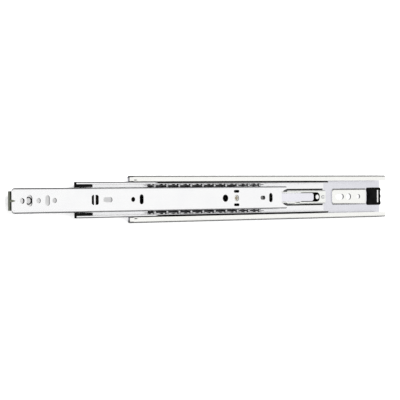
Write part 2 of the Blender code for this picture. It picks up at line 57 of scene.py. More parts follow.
CABINET_X = CABINET_LOW.x
INTERMEDIATE_X = INTERMEDIATE_LOW.x
DRAWER_X = DRAWER_LOW.x

GAP = 0.0003
CABINET_SHEET = 0.0014
INTERMEDIATE_SHEET = 0.00125
DRAWER_SHEET = 0.0012
CAGE_SHEET = 0.0006
LATCH_SHEET = 0.001
SPRING_SHEET = 0.0008

CABINET_LIP = 0.0173
WEB_SETBACK = 0.0012
INTERMEDIATE_LIP = 0.0149
INTERMEDIATE_RACE = 0.01645
OUTER_WEB_LENGTH = 0.1135
INNER_WEB_LENGTH = 0.1137
DRAWER_GROOVE = 0.0005
SCREW_HOLE = 0.0048
SLOT_LENGTH = 0.0096

EDGE = 0.00012
BEND_STEPS = 10
TURNED_STEPS = 40
BEVEL_ANGLE = 50
SHARP_ANGLE = 32
OVERRUN = 0.001


# ---- materials ----

# Places of the painted shade, of the lip tint and of the frosting: along the slide from a member's front
# edge, across it from its middle plane.
# Near-black painted shade, mixed into the zinc where the masks below say.
PAINTED_SHADE_BLACK = (0.012, 0.011, 0.009)
FACE_SKIN = 0.0008
DRAWER_INSIDE = 0.0109
# Painted shade: spans and sizes of the near-black bands on the intermediate member.
WEB_SHADE_SPANS = ((0.0150, 0.0335), (0.0640, 0.0780), (0.3000, 0.3340))
WEB_SHADE_HALF = 0.0066
WEB_SHADE_TOP = 0.0017
RIM_SHADE_START = 0.028
SHADE_FADE = 0.004
RIM_Z = 0.0101
RIM_INNER = 0.0153
RIM_EDGE = 0.0163
# Painted shade on the cabinet web beside the latch and under the stop slots.
LATCH_SHADE_START = 0.1980
LATCH_SHADE_INNER = 0.0062
LATCH_SHADE_OUTER = 0.0098
STOP_SHADE_END = 0.0160
STOP_SHADE_INNER = 0.0176
STOP_SHADE_OUTER = 0.0198
CABINET_SHADE_TOP = 0.0030
FROSTED_END = 0.0085
FROSTED_HALF = 0.0205
FROSTED_TOP = 0.0090
LIP_TINT_START = 0.0021
LIP_TINT_FADE = 0.0006


class Nodes:
    """A small builder for one material's node tree."""

    def __init__(self, name):
        self.material = bpy.data.materials.new(name)
        self.material.use_nodes = True
        self.tree = self.material.node_tree
        self.shader = self.tree.nodes["Principled BSDF"]
        self.coordinates = self.add("ShaderNodeTexCoord").outputs["Object"]
        self.axes = []

    def add(self, kind, **settings):
        node = self.tree.nodes.new(kind)
        for key, value in settings.items():
            setattr(node, key, value)
        return node

    def link(self, output, socket):
        self.tree.links.new(output, socket)

    def stretched(self, scale):
        """Object coordinates scaled along each axis."""
        mapping = self.add("ShaderNodeMapping")
        mapping.inputs["Scale"].default_value = scale
        self.link(self.coordinates, mapping.inputs["Vector"])
        return mapping.outputs["Vector"]

    def noise(self, vector, scale, detail, roughness=0.5):
        noise = self.add("ShaderNodeTexNoise")
        noise.inputs["Scale"].default_value = scale
        noise.inputs["Detail"].default_value = detail
        noise.inputs["Roughness"].default_value = roughness
        self.link(vector, noise.inputs["Vector"])
        return noise.outputs["Fac"]

    def ramp(self, value, stops):
        ramp = self.add("ShaderNodeValToRGB")
        elements = ramp.color_ramp.elements
        while len(elements) < len(stops):
            elements.new(0.5)
        for element, (position, colour) in zip(elements, stops):
            element.position = position
            element.color = (*colour, 1)
        self.link(value, ramp.inputs["Fac"])
        return ramp.outputs["Color"]

    def spread(self, value, low, high, to_low, to_high):
        spread = self.add("ShaderNodeMapRange")
        for name, number in zip(
            ("From Min", "From Max", "To Min", "To Max"), (low, high, to_low, to_high)
        ):
            spread.inputs[name].default_value = number
        self.link(value, spread.inputs["Value"])
        return spread.outputs["Result"]

    def axis(self, index):
        """One of the object coordinates, in metres: 0 along the slide, 1 across it, 2 out of its face."""
        if not self.axes:
            split = self.add("ShaderNodeSeparateXYZ")
            self.link(self.coordinates, split.inputs[0])
            self.axes = list(split.outputs)
        return self.axes[index]

    def math(self, operation, *values):
        node = self.add("ShaderNodeMath", operation=operation)
        for socket, value in zip(node.inputs, values):
            if isinstance(value, (int, float)):
                socket.default_value = value
            else:
                self.link(value, socket)
        return node.outputs[0]

    def above(self, value, limit, blur=0.0003):
        """0 below the limit and 1 above it."""
        return self.spread(value, limit - blur / 2, limit + blur / 2, 0, 1)

    def below(self, value, limit, blur=0.0003):
        return self.spread(value, limit - blur / 2, limit + blur / 2, 1, 0)

    def width(self):
        """Distance from the slide's middle plane."""
        return self.math("ABSOLUTE", self.axis(1))

    def all_of(self, *masks):
        total = masks[0]
        for mask in masks[1:]:
            total = self.math("MULTIPLY", total, mask)
        return total

    def any_of(self, *masks):
        total = masks[0]
        for mask in masks[1:]:
            total = self.math("MAXIMUM", total, mask)
        return total

    def mixed(self, mask, first, second):
        mix = self.add("ShaderNodeMix", data_type="RGBA")
        self.link(mask, mix.inputs["Factor"])
        for socket, value in ((mix.inputs[6], first), (mix.inputs[7], second)):
            if isinstance(value, tuple):
                socket.default_value = (*value, 1)
            else:
                self.link(value, socket)
        return mix.outputs[2]

    def bump(self, height, distance, strength=1.0):
        bump = self.add("ShaderNodeBump")
        bump.inputs["Distance"].default_value = distance
        bump.inputs["Strength"].default_value = strength
        self.link(height, bump.inputs["Height"])
        self.link(bump.outputs["Normal"], self.shader.inputs["Normal"])


def rolled_zinc(name, light, dark, roughness, painted_shade=None, lips=None, frosted=None):
    """Bright zinc plate on cold-rolled strip: faint clouds, and fine lines along the rolling direction.

    The shade mask gives the places painted near-black as shade, and frosted that of places without a shine.
    lips is the light and dark tint of the raised places, where it differs from the web's; lighter than the
    web, it paints light on the raised lips and shade on the low web."""
    nodes = Nodes(name)
    shader = nodes.shader
    shader.inputs["Metallic"].default_value = 1.0
    clouds = nodes.noise(nodes.coordinates, 55, 4, 0.6)
    grain = nodes.noise(nodes.stretched((18, 900, 900)), 1.0, 3, 0.7)
    colour = nodes.ramp(clouds, ((0.3, dark), (0.7, light)))
    # Painted light and shade by height: the raised lips are tinted lighter than the low web.
    if lips:
        lip_colour = nodes.ramp(clouds, ((0.3, lips[1]), (0.7, lips[0])))
        raised = nodes.above(nodes.axis(2), LIP_TINT_START, LIP_TINT_FADE)
        colour = nodes.mixed(raised, colour, lip_colour)
    # Painted shade: near-black mixed in wherever the shade mask is one.
    if painted_shade:
        colour = nodes.mixed(painted_shade(nodes), colour, PAINTED_SHADE_BLACK)
    nodes.link(colour, shader.inputs["Base Color"])
    rough = nodes.spread(
        nodes.math("MULTIPLY", clouds, grain), 0.1, 0.45, roughness * 0.75, roughness * 1.25
    )
    nodes.link(rough, shader.inputs["Roughness"])
    if frosted:
        nodes.link(nodes.spread(frosted(nodes), 0, 1, 1, 0.1), shader.inputs["Metallic"])
    nodes.bump(grain, 0.00001, 0.6)
    return nodes.material


def drawer_painted_shade(nodes):
    """Painted shade: the inside of the drawer member, near-black."""
    return nodes.all_of(
        nodes.below(nodes.axis(2), DRAWER_HIGH.z - FACE_SKIN),
        nodes.below(nodes.width(), DRAWER_INSIDE),
    )


def intermediate_painted_shade(nodes):
    """Painted shade: near-black bands on the middle of the web, and on the rims beside the cabinet member's
    lips.
    """
    along = nodes.axis(0)
    smears_and_shade = []
    for start, end in WEB_SHADE_SPANS:
        after = nodes.above(along, INTERMEDIATE_X + start)
        smears_and_shade.append(nodes.all_of(after, nodes.below(along, INTERMEDIATE_X + end)))
    web = nodes.all_of(
        nodes.below(nodes.axis(2), INTERMEDIATE_LOW.z + WEB_SHADE_TOP),
        nodes.below(nodes.width(), WEB_SHADE_HALF),
        nodes.any_of(*smears_and_shade),
    )
    shoulder = nodes.all_of(
        nodes.above(nodes.width(), RIM_INNER),
        nodes.above(along, CABINET_X + RIM_SHADE_START, SHADE_FADE),
    )
    edge = nodes.above(nodes.width(), RIM_EDGE)
    rim = nodes.all_of(nodes.above(nodes.axis(2), RIM_Z), nodes.any_of(shoulder, edge))
    return nodes.any_of(web, rim)


def cabinet_painted_shade(nodes):
    """Painted shade: two near-black bands on the web beside the latch's place, and one under each stop
    slot.
    """
    along = nodes.axis(0)
    smears_and_shade = nodes.all_of(
        nodes.above(nodes.width(), LATCH_SHADE_INNER),
        nodes.below(nodes.width(), LATCH_SHADE_OUTER),
        nodes.above(along, CABINET_X + LATCH_SHADE_START, SHADE_FADE),
        nodes.below(along, INTERMEDIATE_HIGH.x + 0.0006),
    )
    shade_under_stops = nodes.all_of(
        nodes.above(nodes.width(), STOP_SHADE_INNER),
        nodes.below(nodes.width(), STOP_SHADE_OUTER),
        nodes.above(along, CABINET_X + FROSTED_END),
        nodes.below(along, CABINET_X + STOP_SHADE_END),
    )
    low = nodes.below(nodes.axis(2), CABINET_SHADE_TOP)
    return nodes.all_of(low, nodes.any_of(smears_and_shade, shade_under_stops))


def cabinet_frosting(nodes):
    """The cabinet member's wiped front end."""
    return nodes.all_of(
        nodes.below(nodes.axis(2), FROSTED_TOP),
        nodes.below(nodes.width(), FROSTED_HALF, 0.0012),
        nodes.below(nodes.axis(0), CABINET_X + FROSTED_END),
    )


def oiled_steel(name, light, dark, roughness):
    """Uncoated strip under a patchy film of oil."""
    nodes = Nodes(name)
    nodes.shader.inputs["Metallic"].default_value = 0.85
    patches = nodes.noise(nodes.coordinates, 240, 5, 0.65)
    nodes.link(nodes.ramp(patches, ((0.35, dark), (0.65, light))), nodes.shader.inputs["Base Color"])
    rough = nodes.spread(patches, 0.3, 0.7, roughness * 0.7, roughness * 1.3)
    nodes.link(rough, nodes.shader.inputs["Roughness"])
    nodes.bump(patches, 0.00002, 0.5)
    return nodes.material


def ball_finish(name):
    """Polished bearing steel with faint smears."""
    nodes = Nodes(name)
    nodes.shader.inputs["Metallic"].default_value = 1.0
    smears_and_shade = nodes.noise(nodes.coordinates, 900, 2)
    tint = nodes.ramp(smears_and_shade, ((0.3, (0.78, 0.78, 0.79)), (0.7, (0.93, 0.93, 0.94))))
    nodes.link(tint, nodes.shader.inputs["Base Color"])
    rough = nodes.spread(smears_and_shade, 0.3, 0.7, 0.05, 0.14)
    nodes.link(rough, nodes.shader.inputs["Roughness"])
    return nodes.material


def moulded(name, light, dark, roughness, grain_size, depth):
    """Moulded plastic or rubber with a fine grain, its scale and depth as given."""
    nodes = Nodes(name)
    nodes.shader.inputs["Specular IOR Level"].default_value = 0.05
    grain = nodes.noise(nodes.coordinates, grain_size, 4, 0.6)
    clouds = nodes.noise(nodes.coordinates, grain_size / 12, 2)
    nodes.link(nodes.ramp(clouds, ((0.3, dark), (0.7, light))), nodes.shader.inputs["Base Color"])
    rough = nodes.spread(grain, 0.3, 0.7, roughness * 0.85, min(1, roughness * 1.15))
    nodes.link(rough, nodes.shader.inputs["Roughness"])
    nodes.bump(grain, depth, 0.8)
    return nodes.material


def olive_tab_shade(name):
    """The drawer member's front tab: its own olive tint, kept dark as painted shade on the face turned to
    the front end.
    """
    nodes = Nodes(name)
    nodes.shader.inputs["Metallic"].default_value = 0.1
    nodes.shader.inputs["Roughness"].default_value = 0.6
    nodes.shader.inputs["Specular IOR Level"].default_value = 0.3
    patches = nodes.noise(nodes.coordinates, 300, 4, 0.6)
    tint = nodes.ramp(patches, ((0.3, (0.11, 0.12, 0.09)), (0.7, (0.16, 0.17, 0.135))))
    nodes.link(tint, nodes.shader.inputs["Base Color"])
    nodes.bump(patches, 0.00002, 0.5)
    return nodes.material


def dished_rivet(name):
    """A bright rim around a brown, oxidised dish."""
    nodes = Nodes(name)
    nodes.shader.inputs["Metallic"].default_value = 0.9
    nodes.shader.inputs["Roughness"].default_value = 0.3
    patches = nodes.noise(nodes.coordinates, 500, 4, 0.6)
    rim = nodes.ramp(patches, ((0.3, (0.74, 0.73, 0.68)), (0.7, (0.88, 0.87, 0.82))))
    dish = nodes.ramp(patches, ((0.4, (0.20, 0.16, 0.10)), (0.6, (0.52, 0.46, 0.36))))
    inside = nodes.below(nodes.axis(2), DRAWER_HIGH.z - 0.0004, 0.0002)
    nodes.link(nodes.mixed(inside, rim, dish), nodes.shader.inputs["Base Color"])
    nodes.bump(patches, 0.00002, 0.5)
    return nodes.material


# The members' zinc, with near-black painted shade where their masks say.
DRAWER_ZINC = rolled_zinc(
    "drawer_zinc_plate", (0.97, 0.97, 0.97), (0.93, 0.93, 0.94), 0.24, drawer_painted_shade
)
INTERMEDIATE_ZINC = rolled_zinc(
    "intermediate_zinc_plate", (0.95, 0.95, 0.96), (0.90, 0.90, 0.91), 0.24, intermediate_painted_shade
)
# The web's lavender hue is its own; the lighter lips paint light on the raised places and shade on the low
# web.
CABINET_ZINC = rolled_zinc(
    "cabinet_zinc_plate",
    (0.81, 0.81, 0.86),
    (0.74, 0.74, 0.79),
    0.28,
    cabinet_painted_shade,
    lips=((0.98, 0.98, 0.95), (0.94, 0.94, 0.91)),
    frosted=cabinet_frosting,
)
LATCH_ZINC = rolled_zinc("latch_zinc_plate", (0.94, 0.95, 0.92), (0.90, 0.91, 0.88), 0.24)
# The cage strip's near-black is dark steel of its own, and also paints the shade in the race gaps where its
# edges show.
CAGE_STEEL = oiled_steel("cage_strip", (0.10, 0.10, 0.10), (0.045, 0.045, 0.05), 0.42)
SPRING_STEEL = rolled_zinc("spring_strip", (0.88, 0.87, 0.93), (0.83, 0.82, 0.89), 0.26)
DISCONNECT_STEEL = oiled_steel("disconnect_strip", (0.30, 0.30, 0.30), (0.10, 0.10, 0.10), 0.35)
BLACKENED_STEEL = oiled_steel("rivet_blackened", (0.10, 0.11, 0.09), (0.03, 0.035, 0.03), 0.4)
RIVET_STEEL = dished_rivet("rivet_passivated")
PIN_STEEL = rolled_zinc("pin_bright", (0.97, 0.97, 0.97), (0.90, 0.90, 0.90), 0.2)
# Olive tab tint, darkened as painted shade on the tab's front face.
TAB_OLIVE_SHADE = olive_tab_shade("tab_olive_painted_shade")
BALL_STEEL = ball_finish("ball_polish")
WORN_BLACK = (0.006, 0.006, 0.006)
DEEP_BLACK = (0.002, 0.002, 0.002)
BLACK_PLASTIC = moulded("bumper_nylon", WORN_BLACK, DEEP_BLACK, 0.5, 2600, 0.00002)
BLACK_RUBBER = moulded("bumper_rubber", WORN_BLACK, DEEP_BLACK, 0.6, 1900, 0.00004)


# ---- shape helpers ----


def across(a, b, c):
    """Places an outline drawn in Y and Z, run along X."""
    return Vector((c, a, b))


def upright(a, b, c):
    """Places an outline drawn in X and Y, run along Z."""
    return Vector((a, b, c))


def sideways(a, b, c):
    """Places an outline drawn in X and Z, run along Y."""
    return Vector((a, c, b))


def bent_outline(corners, thickness, steps=BEND_STEPS):
    """The outline of a bent sheet from its centre line's corners, each (a, b, bend radius)."""
    points = [Vector(corner[:2]) for corner in corners]
    line = []
    for index, (a, b, radius) in enumerate(corners):
        here = points[index]
        into = here - points[index - 1] if index else points[1] - here
        out = points[index + 1] - here if index + 1 < len(points) else into
        start_angle = math.atan2(into.y, into.x)
        turn = math.atan2(into.x * out.y - into.y * out.x, into.dot(out))
        if abs(turn) < 1e-6 or radius == 0:
            line.append((here, Vector((-math.sin(start_angle), math.cos(start_angle)))))
            continue
        side = math.copysign(1, turn)
        start = here - into.normalized() * radius * math.tan(abs(turn) / 2)
        centre = start + side * radius * Vector((-math.sin(start_angle), math.cos(start_angle)))
        for step in range(steps + 1):
            angle = start_angle + turn * step / steps
            normal = Vector((-math.sin(angle), math.cos(angle)))
            line.append((centre - side * radius * normal, normal))
    left = [point + normal * thickness / 2 for point, normal in line]
    right = [point - normal * thickness / 2 for point, normal in line]
    return left + right[::-1]


def mirrored(half):
    """A centre line's corners on both sides of Y = 0, from those on the +Y side, web outwards."""
    return [(-a, b, radius) for a, b, radius in reversed(half)] + half


def slot_outline(x, y, along_x, along_y, steps=12):
    """A slot, or a circle where the two sizes are equal, centred on (x, y)."""
    radius = min(along_x, along_y) / 2
    reach_x = along_x / 2 - radius
    reach_y = along_y / 2 - radius
    outline = []
    for quarter, (sign_x, sign_y) in enumerate(((1, 1), (-1, 1), (-1, -1), (1, -1))):
        for step in range(steps // 2 + 1):
            angle = math.pi / 2 * (quarter + step / (steps // 2))
            outline.append(
                (
                    x + sign_x * reach_x + radius * math.cos(angle),
                    y + sign_y * reach_y + radius * math.sin(angle),
                )
            )
    return without_doubles(outline)


def rounded_box(low_a, high_a, low_b, high_b, radius):
    steps = 5
    outline = []
    centres = (
        (high_a - radius, high_b - radius),
        (low_a + radius, high_b - radius),
        (low_a + radius, low_b + radius),
        (high_a - radius, low_b + radius),
    )
    for quarter, (a, b) in enumerate(centres):
        for step in range(steps + 1):
            angle = math.pi / 2 * (quarter + step / steps)
            outline.append((a + radius * math.cos(angle), b + radius * math.sin(angle)))
    return without_doubles(outline)


def without_doubles(outline):
    kept = []
    for point in outline:
        if not kept or (Vector(point) - Vector(kept[-1])).length > 1e-6:
            kept.append(point)
    if (Vector(kept[0]) - Vector(kept[-1])).length < 1e-6:
        kept.pop()
    return kept


def box_outline(low_a, high_a, low_b, high_b):
    return [(low_a, low_b), (high_a, low_b), (high_a, high_b), (low_a, high_b)]


def add_prism(bm, outline, low, high, place, high_outline=None):
    """A closed prism, or a tapered one where the far end has an outline of its own."""
    near = [bm.verts.new(place(a, b, low)) for a, b in outline]
    far = [bm.verts.new(place(a, b, high)) for a, b in high_outline or outline]
    bm.faces.new(near)
    bm.faces.new(far[::-1])
    for index in range(len(near)):
        after = (index + 1) % len(near)
        bm.faces.new((near[index], far[index], far[after], near[after]))


def mesh_from(name, bm):
    bmesh.ops.recalc_face_normals(bm, faces=bm.faces)
    mesh = bpy.data.meshes.new(name)
    bm.to_mesh(mesh)
    bm.free()
    return mesh


def add_object(name, mesh):
    piece = bpy.data.objects.new(name, mesh)
    bpy.context.scene.collection.objects.link(piece)
    return piece


class Part:
    """One piece in the making: a prism, then others joined to it or cut from it, from a front edge at x."""

    def __init__(self, name, x, first):
        self.x = x
        self.piece = add_object(name, self.prisms([first]))

    def prisms(self, prisms):
        bm = bmesh.new()
        for prism in prisms:
            add_prism(bm, *prism)
        bmesh.ops.translate(bm, verts=bm.verts, vec=(self.x, 0, 0))
        return mesh_from("prisms", bm)

    def change(self, prisms, operation):
        helper = add_object("helper", self.prisms(prisms))
        boolean = self.piece.modifiers.new("change", "BOOLEAN")
        boolean.object = helper
        boolean.operation = operation
        boolean.solver = "EXACT"
        bake(self.piece)
        bpy.data.objects.remove(helper)
        return self

    def join(self, *prisms):
        for prism in prisms:
            self.change([prism], "UNION")
        return self

    def cut(self, prisms):
        return self.change(prisms, "DIFFERENCE")

    def done(self, material, body, node, edge=EDGE):
        return dress(self.piece, material, body, [node], edge)


def bake(piece):
    """Applies a piece's modifiers to its mesh."""
    bpy.context.view_layer.update()
    graph = bpy.context.evaluated_depsgraph_get()
    mesh = bpy.data.meshes.new_from_object(piece.evaluated_get(graph))
    piece.modifiers.clear()
    old = piece.data
    piece.data = mesh
    bpy.data.meshes.remove(old)


def dress(piece, material, body, nodes, edge):
    """Rounds the edges, gives the finish, and sets the piece on its body."""
    mesh = piece.data
    mesh.materials.clear()
    mesh.materials.append(material)
    bm = bmesh.new()
    bm.from_mesh(mesh)
    bmesh.ops.remove_doubles(bm, verts=bm.verts, dist=2e-6)
    bmesh.ops.dissolve_degenerate(bm, edges=bm.edges, dist=1e-6)
    bm.to_mesh(mesh)
    bm.free()
    for polygon in mesh.polygons:
        polygon.material_index = 0
    if edge:
        bevel = piece.modifiers.new("edge", "BEVEL")
        bevel.width = edge
        bevel.segments = 2
        bevel.limit_method = "ANGLE"
        bevel.angle_limit = math.radians(BEVEL_ANGLE)
        bevel.use_clamp_overlap = True
        bevel.miter_outer = "MITER_ARC"
        bake(piece)
    piece.data.shade_smooth()
    piece.data.set_sharp_from_angle(angle=math.radians(SHARP_ANGLE))
    weighted = piece.modifiers.new("flat_faces", "WEIGHTED_NORMAL")
    weighted.keep_sharp = True
    weighted.weight = 80
    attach(piece, body)
    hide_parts(*nodes)
    return piece


def holes(outlines, low, high):
    """Cutters along Z for these outlines."""
    return [(outline, low, high, upright) for outline in outlines]


def round_hole(x, size):
    return slot_outline(x, 0, size, size)


def screw_hole(x):
    return round_hole(x, SCREW_HOLE)


def cross_slot(x):
    return slot_outline(x, 0, SCREW_HOLE, SLOT_LENGTH)


def long_slot(x, length, width=SCREW_HOLE):
    return slot_outline(x, 0, length, width)


def turned(name, x, profile, material, body, node):
    """A turned pin standing along Z. profile is (radius, z) pairs from the top down."""
    bm = bmesh.new()
    rings = []
    for radius, z in profile:
        ring = []
        for step in range(TURNED_STEPS):
            angle = 2 * math.pi * step / TURNED_STEPS
            ring.append(bm.verts.new((x + radius * math.cos(angle), radius * math.sin(angle), z)))
        rings.append(ring)
    bm.faces.new(rings[0])
    bm.faces.new(rings[-1][::-1])
    for upper, lower in zip(rings, rings[1:]):
        for step in range(TURNED_STEPS):
            after = (step + 1) % TURNED_STEPS
            bm.faces.new((upper[step], lower[step], lower[after], upper[after]))
    piece = add_object(name, mesh_from(name, bm))
    dress(piece, material, body, [node], 0.00006)


# ---- cabinet member ----

PAD_FRONT = 0.2797
PAD_REAR = 0.3336
PAD_RISE = 0.0012
PAD_HALF_BASE = 0.0097
PAD_HALF_TOP = 0.0071
HOOK_X = 0.3452
HOOK_HALF = 0.0067
HOOK_TOP = 0.0082
HOOK_HOLE_REAR = 0.3536
STOP_SLOT_X = 0.0024
STOP_SLOT_Y = 0.01855
LEAD_IN_INNER = 0.0177
LEAD_IN_OUTER = 0.0213
BUMPER_UNDER = 0.0050


def make_cabinet_member():
    half = CABINET_HIGH.y
    depth = CABINET_HIGH.z
    length = CABINET_HIGH.x - CABINET_LOW.x
    half_sheet = CABINET_SHEET / 2
    section = mirrored(
        [
            (half - half_sheet, half_sheet, 0.0012),
            (half - half_sheet, depth - half_sheet, 0.0016),
            (CABINET_LIP, depth - half_sheet, 0),
        ]
    )
    outline = bent_outline(section, CABINET_SHEET)
    part = Part("cabinet_channel", CABINET_X, (outline, 0, length, across))

    def pad_outline(half_width, inset, front_inset=0.0):
        chamfer = 0.0022
        front = PAD_FRONT + front_inset
        rear = PAD_REAR - inset
        return [
            (front + chamfer, -half_width),
            (rear, -half_width),
            (rear, half_width),
            (front + chamfer, half_width),
            (front, half_width - chamfer),
            (front, chamfer - half_width),
        ]

    base = pad_outline(PAD_HALF_BASE, 0)
    top = pad_outline(PAD_HALF_TOP, PAD_RISE, 0.0001)
    hollow_top = pad_outline(PAD_HALF_TOP - 0.0004, 0.0016, 0.0016)
    part.join((base, half_sheet, CABINET_SHEET + PAD_RISE, upright, top))
    part.cut([(base, -CABINET_SHEET, PAD_RISE, upright, hollow_top)])
    hook = box_outline(HOOK_X, HOOK_X + CABINET_SHEET, -HOOK_HALF, HOOK_HALF)
    part.join((hook, half_sheet, HOOK_TOP, upright))
    openings = [
        long_slot(0.2918, 0.0122, 0.0056),
        round_hole(0.3058, 0.0068),
        screw_hole(0.3211),
        box_outline(HOOK_X + CABINET_SHEET, HOOK_HOLE_REAR, -HOOK_HALF, HOOK_HALF),
        round_hole(0.0120, 0.0064),
        screw_hole(0.0370),
        cross_slot(0.0470),
        long_slot(0.1010, 0.0106),
        screw_hole(0.1650),
        cross_slot(0.1750),
        screw_hole(0.2290),
        cross_slot(0.2390),
    ]
    part.cut(holes(openings, -CABINET_SHEET, 2.5 * CABINET_SHEET))
    web_front = box_outline(-OVERRUN, WEB_SETBACK, -0.024, 0.024)
    part.cut(holes([web_front], -OVERRUN, 0.0022))
    stops = [slot_outline(STOP_SLOT_X, side * STOP_SLOT_Y, 0.0040, 0.0008) for side in (-1, 1)]
    part.cut(holes(stops, 0.008, depth + OVERRUN))
    lead_in = [
        (0.0006, depth - CABINET_SHEET),
        (0.0006, depth),
        (-0.0002, depth),
        (-0.0031, depth - 0.0022),
        (-0.0023, depth - 0.0033),
        (0.0000, depth - CABINET_SHEET),
    ]
    for side in (-1, 1):
        part.join((lead_in, side * LEAD_IN_INNER, side * LEAD_IN_OUTER, sideways))
    part.done(CABINET_ZINC, "cabinet", "cabinet_member")


def make_rear_bumper():
    """A rubber block held by the hook, waisted in front and scalloped behind."""
    front = BUMPER_LOW.x
    rear = BUMPER_HIGH.x
    half = BUMPER_HIGH.y
    corner = 0.0022
    side = half - corner
    front_waist = 0.0025
    rear_dip = 0.0008
    steps = 48
    front_side = []
    rear_side = []
    for step in range(steps + 1):
        y = side * (1 - 2 * step / steps)
        front_side.append((front + front_waist * (0.5 + 0.5 * math.cos(math.pi * y / side)), y))
        rear_side.append((rear - rear_dip * (0.5 - 0.5 * math.cos(2 * math.pi * y / side)), y))
    bend = [math.pi / 2 * step / 10 for step in range(1, 10)]
    rear_corner = [
        (rear - corner + corner * math.sin(angle), side + corner * math.cos(angle)) for angle in bend
    ]
    front_corner = [
        (front + corner - corner * math.sin(angle), side + corner * math.cos(angle)) for angle in bend
    ]
    outline = (
        front_side[::-1]
        + front_corner[::-1]
        + [(front + corner, half), (rear - corner, half)]
        + rear_corner
        + rear_side
        + [(x, -y) for x, y in rear_corner[::-1]]
        + [(rear - corner, -half), (front + corner, -half)]
        + [(x, -y) for x, y in front_corner]
    )
    block_prism = (without_doubles(outline), BUMPER_UNDER, BUMPER_HIGH.z, upright)
    part = Part("rear_bumper_block", 0, block_prism)
    foot = box_outline(CABINET_X + PAD_REAR + 0.0009, rear - 0.001, -0.0088, 0.0088)
    part.join((foot, BUMPER_LOW.z, (BUMPER_UNDER + BUMPER_HIGH.z) / 2, upright))
    hook_x = CABINET_X + HOOK_X
    slit_half = HOOK_HALF + GAP
    slit = box_outline(hook_x - GAP, hook_x + CABINET_SHEET + GAP, -slit_half, slit_half)
    part.cut(holes([slit], 0, CABINET_HIGH.z))
    block = part.done(BLACK_RUBBER, "cabinet", "rear_bumper", edge=0.0005)
    block.visible_glossy = False


# ---- cages and balls ----


def balls_of(row):
    """The CAD balls of one row, by name."""
    return sorted(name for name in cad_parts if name.startswith(f"{row}_ball_"))


def make_cage(name, body, web_length, row):
    """A cage strip with round pockets for the balls of its row and windows in its web."""
    play = 0.00036
    past_flange = 0.0012
    rail = 0.0012
    low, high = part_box(name)
    web_z = low.z + CAGE_SHEET / 2
    half = high.y - CAGE_SHEET / 2
    edge_z = high.z
    section = mirrored([(half, web_z, 0.0006), (half, edge_z, 0)])
    outline = bent_outline(section, CAGE_SHEET, 5)
    part = Part(f"{name}_strip", 0, (outline, low.x, high.x, across))
    pockets = []
    places = []
    for ball in balls_of(row):
        ball_low, ball_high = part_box(ball)
        centre = (ball_low + ball_high) / 2
        size = ball_high.z - ball_low.z + play
        side = math.copysign(1, centre.y)
        pocket = slot_outline(centre.x, centre.z, size, size, 16)
        pockets.append((pocket, side * (half - past_flange), side * (half + past_flange), sideways))
        if side > 0:
            places.append(centre.x)
    part.cut(pockets)
    windows = []
    places.sort()
    for before, after in zip(places, places[1:]):
        middle = (before + after) / 2
        reach = 0.4 * (after - before)
        window_half = 0.55 * half
        if middle + reach < low.x + web_length:
            windows.append(
                rounded_box(middle - reach, middle + reach, -window_half, window_half, 0.0012)
            )
    if low.x + web_length < high.x:
        windows.append(box_outline(low.x + web_length, high.x + OVERRUN, rail - half, half - rail))
    part.cut(holes(windows, web_z - 0.001, web_z + 0.001))
    part.done(CAGE_STEEL, body, name, edge=0.00008)


def make_balls(row, body):
    for ball in balls_of(row):
        low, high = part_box(ball)
        bm = bmesh.new()
        bmesh.ops.create_icosphere(bm, subdivisions=4, radius=(high.z - low.z) / 2)
        bmesh.ops.translate(bm, verts=bm.verts, vec=(low + high) / 2)
        piece = add_object(f"{ball}_polished", mesh_from(ball, bm))
        dress(piece, BALL_STEEL, body, [ball], 0)


# ---- intermediate member and what it carries ----

ACCESS_WIDTH = 0.0100
ACCESS_OPENINGS = ((0.0420, 0.0180), (0.0860, 0.0180), (0.1500, 0.0100), (0.2050, 0.0180))
LATCH_HALF = 0.0066
LATCH_NECK = 0.0056
LATCH_LEG_NOTCH = (0.2871, 0.2944)
LATCH_SLOT = [
    (0.2740, 0.0058),
    (0.2790, 0.0073),
    (0.3322, 0.0073),
    (0.3322, 0.0088),
    (0.2775, 0.0088),
    (0.2740, 0.0070),
]
WINDOW_FRONT = 0.2600
WINDOW_REAR = 0.3243
WINDOW_HALF = 0.0050
TONGUE_HALF = 0.0042
RIVET_SHANK = 0.0024
RIVET_HEAD = 0.0038
LATCH_RIVETS = (0.2530, 0.3289)
DETENT_X = 0.3213
DETENT_PIN = 0.0032
DETENT_HEAD = 0.0050


def make_intermediate_member():
    half_sheet = INTERMEDIATE_SHEET / 2
    race = INTERMEDIATE_RACE - half_sheet
    shoulder = INTERMEDIATE_HIGH.y - half_sheet
    back_z = INTERMEDIATE_LOW.z + half_sheet
    lip_z = INTERMEDIATE_HIGH.z - half_sheet
    length = INTERMEDIATE_HIGH.x - INTERMEDIATE_LOW.x
    section = mirrored(
        [
            (race, back_z, 0.0012),
            (race, 0.0071, 0.0015),
            (shoulder, 0.0082, 0.0012),
            (shoulder, lip_z, 0.0011),
            (INTERMEDIATE_LIP, lip_z, 0),
        ]
    )
    outline = bent_outline(section, INTERMEDIATE_SHEET)
    part = Part("intermediate_channel", INTERMEDIATE_X, (outline, 0, length, across))
    access = [long_slot(x, opening, ACCESS_WIDTH) for x, opening in ACCESS_OPENINGS]
    access += [round_hole(x, RIVET_SHANK + 2 * GAP) for x in LATCH_RIVETS]
    access.append(round_hole(DETENT_X, DETENT_PIN + 2 * GAP))
    for side in (-1, 1):
        access.append([(x, side * y) for x, y in LATCH_SLOT])
    part.cut(holes(access, 0.002, 0.006))
    part.cut(holes([box_outline(-OVERRUN, 0.0035, -0.020, 0.020)], 0, 0.0088))
    part.done(INTERMEDIATE_ZINC, "intermediate", "intermediate_member")


